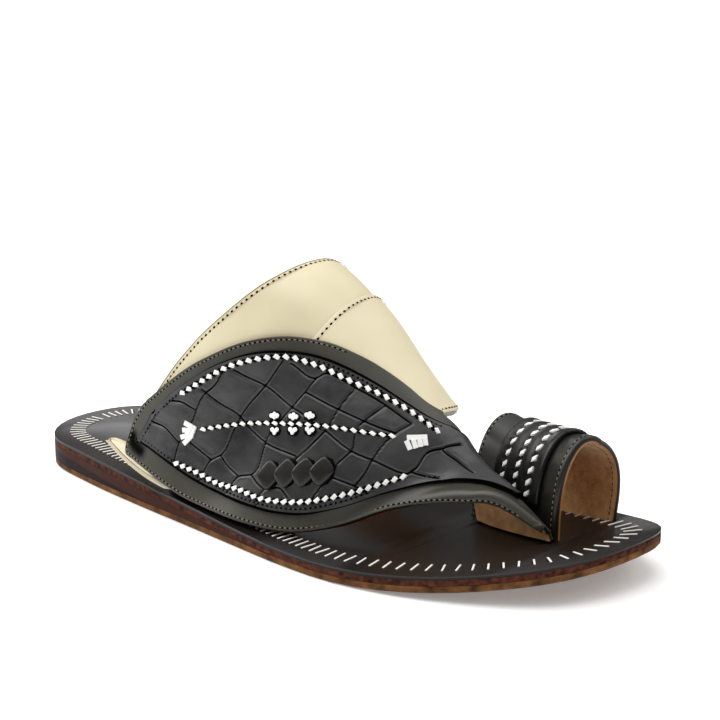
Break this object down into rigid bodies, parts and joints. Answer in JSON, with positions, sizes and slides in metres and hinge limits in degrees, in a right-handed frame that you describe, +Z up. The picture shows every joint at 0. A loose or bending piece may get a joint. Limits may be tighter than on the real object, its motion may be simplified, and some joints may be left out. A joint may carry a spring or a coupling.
{
  "type": "arabic sandal",
  "caption": "Flat layered leather sandal, right foot, with a high wing over the instep, a leaf-shaped vamp strap run to a toe slot and a separate ring for the big toe.",
  "frame": {"origin": "on the floor under the middle of the heel", "axes": "+X from heel to toe, +Y to the big-toe side, +Z up"},
  "size_m": [0.285, 0.1097, 0.1024],
  "materials": {
    "outsole_leather": "satin cut edge, tan",
    "wedge_leather": "satin, dark stained edge",
    "midsole_leather": "satin cut edge, reddish brown",
    "insole_leather": "polished, black",
    "cream_leather": "smooth, satin, cream",
    "strap_leather": "smooth, satin, olive black",
    "embossed_leather": "embossed, satin, black"
  },
  "bodies": {
    "root": {"outsole": "outsole_leather", "heel_wedge": "wedge_leather", "midsole": "midsole_leather", "insole": "insole_leather", "upper": "cream_leather", "side_tab": "strap_leather", "vamp_panel": "embossed_leather", "plait": "strap_leather", "toe_ring": "strap_leather", "ring_band": "strap_leather"}
  },
  "joints": []
}
